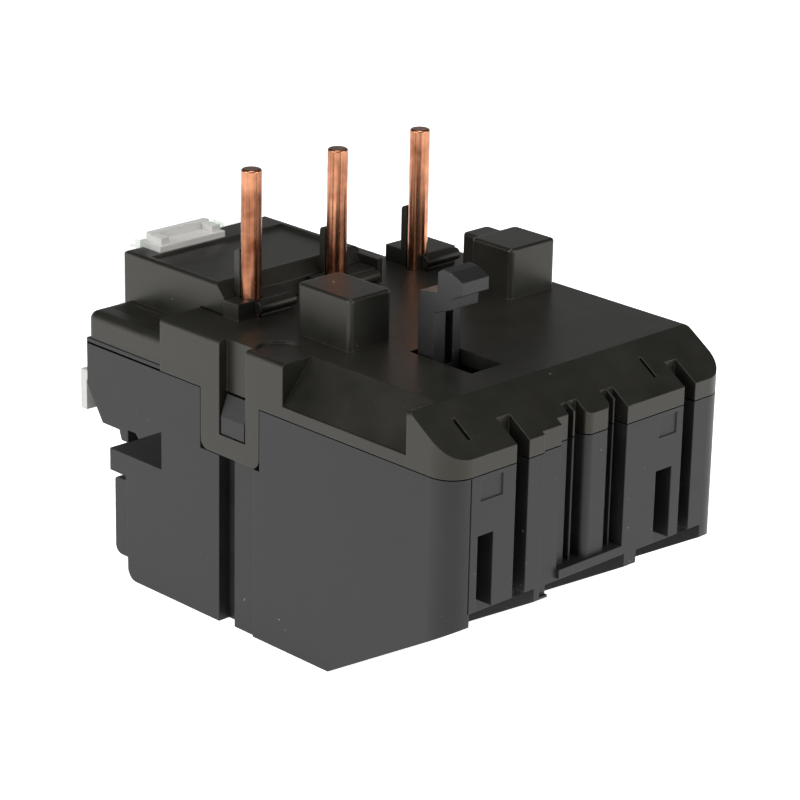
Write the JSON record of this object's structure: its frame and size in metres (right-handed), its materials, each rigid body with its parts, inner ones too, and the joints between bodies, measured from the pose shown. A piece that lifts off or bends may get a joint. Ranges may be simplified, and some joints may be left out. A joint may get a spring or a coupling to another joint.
{
  "type": "thermal overload relay",
  "caption": "Three-pole plug-in thermal overload relay: moulded housings, copper plug pins, hook latch, setting dial, push buttons, clear lid and screw terminals.",
  "frame": {"origin": "centre of the base, under the middle of the whole relay", "axes": "+Z along the plug pins, -Y towards the operator with the dial, +X to the right as seen by the operator"},
  "size_m": [0.045, 0.0632, 0.0522],
  "materials": {
    "housing_plastic": "moulded, fine texture",
    "cover_plastic": "moulded, slight sheen",
    "latch_plastic": "moulded",
    "clear_plastic": "clear",
    "white_plastic": "moulded",
    "dial_plastic": "moulded",
    "blue_plastic": "moulded",
    "red_plastic": "moulded",
    "flag_plastic": "moulded",
    "inner_plastic": "moulded",
    "spring_steel": "bright",
    "bimetal_steel": "rolled",
    "heater_alloy": "heat-tinted",
    "copper": "bright drawn copper",
    "brass": "stamped",
    "plated_steel": "zinc plated",
    "screw_steel": "zinc plated"
  },
  "bodies": {
    "relay": {"heater_housing": "housing_plastic", "terminal_housing": "housing_plastic", "terminal_shroud": "housing_plastic", "top_cover": "cover_plastic", "front_cap": "cover_plastic", "marker_tag": "white_plastic", "marker_strip": "white_plastic", "lever_shaft": "spring_steel", "reset_spring": "spring_steel", "stop_spring": "spring_steel", "snap_spring": "spring_steel", "contact_95": "brass", "contact_96": "brass", "contact_97": "brass", "contact_98": "brass", "plug_pin_1": "copper", "plug_pin_2": "copper", "plug_pin_3": "copper", "load_terminal_1": "copper", "load_terminal_2": "copper", "load_terminal_3": "copper"},
    "lid": {"clear_lid": "clear_plastic"},
    "dial": {"setting_dial": "dial_plastic", "dial_spindle": "spring_steel"},
    "reset_plunger": {"reset_plunger": "inner_plastic"},
    "reset_knob": {"reset_knob": "blue_plastic"},
    "stop_button": {"stop_button": "red_plastic", "stop_plunger": "inner_plastic"},
    "hook_latch": {"hook_latch": "latch_plastic"},
    "trip_slide_upper": {"trip_slide_upper": "inner_plastic"},
    "trip_slide_lower": {"trip_slide_lower": "inner_plastic"},
    "trip_lever": {"trip_lever": "bimetal_steel"},
    "trip_bar": {"trip_bar": "inner_plastic"},
    "contact_leaf_nc": {"contact_leaf_nc": "brass"},
    "contact_leaf_no": {"contact_leaf_no": "brass"},
    "trip_flag": {"trip_flag": "flag_plastic"},
    "bimetal_1": {"bimetal_1": "bimetal_steel", "heater_1": "heater_alloy"},
    "power_screw_1": {"power_screw_1": "screw_steel"},
    "power_clamp_1": {"power_clamp_1": "plated_steel"},
    "bimetal_2": {"bimetal_2": "bimetal_steel", "heater_2": "heater_alloy"},
    "power_screw_2": {"power_screw_2": "screw_steel"},
    "power_clamp_2": {"power_clamp_2": "plated_steel"},
    "bimetal_3": {"bimetal_3": "bimetal_steel", "heater_3": "heater_alloy"},
    "power_screw_3": {"power_screw_3": "screw_steel"},
    "power_clamp_3": {"power_clamp_3": "plated_steel"},
    "control_screw_1": {"control_screw_1": "screw_steel"},
    "control_clamp_1": {"control_clamp_1": "plated_steel"},
    "control_screw_2": {"control_screw_2": "screw_steel"},
    "control_clamp_2": {"control_clamp_2": "plated_steel"},
    "control_screw_3": {"control_screw_3": "screw_steel"},
    "control_clamp_3": {"control_clamp_3": "plated_steel"},
    "control_screw_4": {"control_screw_4": "screw_steel"},
    "control_clamp_4": {"control_clamp_4": "plated_steel"}
  },
  "joints": [
    {"name": "lid_hinge", "type": "hinge", "parent": "relay", "child": "lid", "pos_m": [0, -0.03095, 0.0296], "axis": [1, 0, 0], "range_deg": [0, 100]},
    {"name": "dial_turn", "type": "hinge", "parent": "relay", "child": "dial", "pos_m": [0.0117, -0.0296, 0.0332], "axis": [0, -1, 0], "range_deg": [-140, 140]},
    {"name": "reset_push", "type": "slide", "parent": "relay", "child": "reset_plunger", "axis": [0, 1, 0], "range_m": [0, 0.002], "stiffness_N_per_m": 500, "deforming": ["reset_spring"]},
    {"name": "reset_mode_turn", "type": "hinge", "parent": "reset_plunger", "child": "reset_knob", "pos_m": [-0.002, -0.0296, 0.0332], "axis": [0, 1, 0], "range_deg": [0, 90]},
    {"name": "stop_push", "type": "slide", "parent": "relay", "child": "stop_button", "axis": [0, 1, 0], "range_m": [0, 0.002], "stiffness_N_per_m": 500, "deforming": ["stop_spring"]},
    {"name": "hook_flex", "type": "hinge", "parent": "relay", "child": "hook_latch", "pos_m": [0.0061, 0.013, 0.0309], "axis": [1, 0, 0], "range_deg": [0, 6], "stiffness_Nm_per_rad": 0.3},
    {"name": "slide_upper_move", "type": "slide", "parent": "relay", "child": "trip_slide_upper", "axis": [1, 0, 0], "range_m": [0, 0.002], "stiffness_N_per_m": 150},
    {"name": "slide_lower_move", "type": "slide", "parent": "relay", "child": "trip_slide_lower", "axis": [1, 0, 0], "range_m": [0, 0.002]},
    {"name": "bimetal_1_bend", "type": "hinge", "parent": "relay", "child": "bimetal_1", "pos_m": [0.0119, 0.005, 0.0046], "axis": [0, 1, 0], "range_deg": [0, 4.67]},
    {"name": "bimetal_2_bend", "type": "hinge", "parent": "relay", "child": "bimetal_2", "pos_m": [-0.0016, 0.005, 0.0046], "axis": [0, 1, 0], "range_deg": [0, 4.67]},
    {"name": "bimetal_3_bend", "type": "hinge", "parent": "relay", "child": "bimetal_3", "pos_m": [-0.0151, 0.005, 0.0046], "axis": [0, 1, 0], "range_deg": [0, 4.67]},
    {"name": "lever_turn", "type": "hinge", "parent": "relay", "child": "trip_lever", "pos_m": [-0.018, -0.0109, 0.023], "axis": [0, 1, 0], "range_deg": [0, 16.59]},
    {"name": "trip_bar_move", "type": "slide", "parent": "relay", "child": "trip_bar", "axis": [-1, 0, 0], "range_m": [0, 0.000902], "deforming": ["snap_spring"]},
    {"name": "contact_nc_move", "type": "hinge", "parent": "relay", "child": "contact_leaf_nc", "pos_m": [-0.00995, -0.011, 0.0244], "axis": [0, 1, 0], "range_deg": [0, 6.96]},
    {"name": "contact_no_move", "type": "hinge", "parent": "relay", "child": "contact_leaf_no", "pos_m": [0.01137, -0.011, 0.0244], "axis": [0, 1, 0], "range_deg": [0, 6.96]},
    {"name": "flag_move", "type": "slide", "parent": "relay", "child": "trip_flag", "axis": [-1, 0, 0], "range_m": [0, 0.000902]},
    {"name": "power_screw_1_turn", "type": "hinge", "parent": "relay", "child": "power_screw_1", "pos_m": [0.0135, -0.0208, 0.0068], "axis": [0, 1, 0], "range_deg": [0, 1338.1]},
    {"name": "power_clamp_1_move", "type": "slide", "parent": "relay", "child": "power_clamp_1", "axis": [0, -1, 0], "range_m": [0, 0.0026]},
    {"name": "power_screw_2_turn", "type": "hinge", "parent": "relay", "child": "power_screw_2", "pos_m": [0, -0.0208, 0.0068], "axis": [0, 1, 0], "range_deg": [0, 1338.1]},
    {"name": "power_clamp_2_move", "type": "slide", "parent": "relay", "child": "power_clamp_2", "axis": [0, -1, 0], "range_m": [0, 0.0026]},
    {"name": "power_screw_3_turn", "type": "hinge", "parent": "relay", "child": "power_screw_3", "pos_m": [-0.0135, -0.0208, 0.0068], "axis": [0, 1, 0], "range_deg": [0, 1338.1]},
    {"name": "power_clamp_3_move", "type": "slide", "parent": "relay", "child": "power_clamp_3", "axis": [0, -1, 0], "range_m": [0, 0.0026]},
    {"name": "control_clamp_1_move", "type": "slide", "parent": "relay", "child": "control_clamp_1", "axis": [0, 1, 0], "range_m": [0, 0.0021]},
    {"name": "control_screw_1_turn", "type": "hinge", "parent": "control_clamp_1", "child": "control_screw_1", "pos_m": [-0.015, -0.028, 0.0262], "axis": [0, 1, 0], "range_deg": [0, 1261]},
    {"name": "control_clamp_2_move", "type": "slide", "parent": "relay", "child": "control_clamp_2", "axis": [0, 1, 0], "range_m": [0, 0.0021]},
    {"name": "control_screw_2_turn", "type": "hinge", "parent": "control_clamp_2", "child": "control_screw_2", "pos_m": [-0.005, -0.028, 0.0262], "axis": [0, 1, 0], "range_deg": [0, 1261]},
    {"name": "control_clamp_3_move", "type": "slide", "parent": "relay", "child": "control_clamp_3", "axis": [0, 1, 0], "range_m": [0, 0.0021]},
    {"name": "control_screw_3_turn", "type": "hinge", "parent": "control_clamp_3", "child": "control_screw_3", "pos_m": [0.005, -0.028, 0.0262], "axis": [0, 1, 0], "range_deg": [0, 1261]},
    {"name": "control_clamp_4_move", "type": "slide", "parent": "relay", "child": "control_clamp_4", "axis": [0, 1, 0], "range_m": [0, 0.0021]},
    {"name": "control_screw_4_turn", "type": "hinge", "parent": "control_clamp_4", "child": "control_screw_4", "pos_m": [0.015, -0.028, 0.0262], "axis": [0, 1, 0], "range_deg": [0, 1261]}
  ],
  "couplings": [
    {"joint": "slide_lower_move", "follows": "slide_upper_move", "ratio": 1},
    {"joint": "bimetal_1_bend", "follows": "slide_upper_move", "rad_per_m": 40.323},
    {"joint": "bimetal_2_bend", "follows": "slide_upper_move", "rad_per_m": 40.323},
    {"joint": "bimetal_3_bend", "follows": "slide_upper_move", "rad_per_m": 40.323},
    {"joint": "lever_turn", "follows": "slide_upper_move", "rad_per_m": 143.88},
    {"joint": "trip_bar_move", "follows": "slide_upper_move", "ratio": 0.44604},
    {"joint": "contact_nc_move", "follows": "slide_upper_move", "rad_per_m": 60.276},
    {"joint": "contact_no_move", "follows": "slide_upper_move", "rad_per_m": 60.276},
    {"joint": "flag_move", "follows": "slide_upper_move", "ratio": 0.44604},
    {"joint": "power_screw_1_turn", "follows": "power_clamp_1_move", "rad_per_m": 8976},
    {"joint": "power_screw_2_turn", "follows": "power_clamp_2_move", "rad_per_m": 8976},
    {"joint": "power_screw_3_turn", "follows": "power_clamp_3_move", "rad_per_m": 8976},
    {"joint": "control_screw_1_turn", "follows": "control_clamp_1_move", "rad_per_m": 10472},
    {"joint": "control_screw_2_turn", "follows": "control_clamp_2_move", "rad_per_m": 10472},
    {"joint": "control_screw_3_turn", "follows": "control_clamp_3_move", "rad_per_m": 10472},
    {"joint": "control_screw_4_turn", "follows": "control_clamp_4_move", "rad_per_m": 10472}
  ]
}
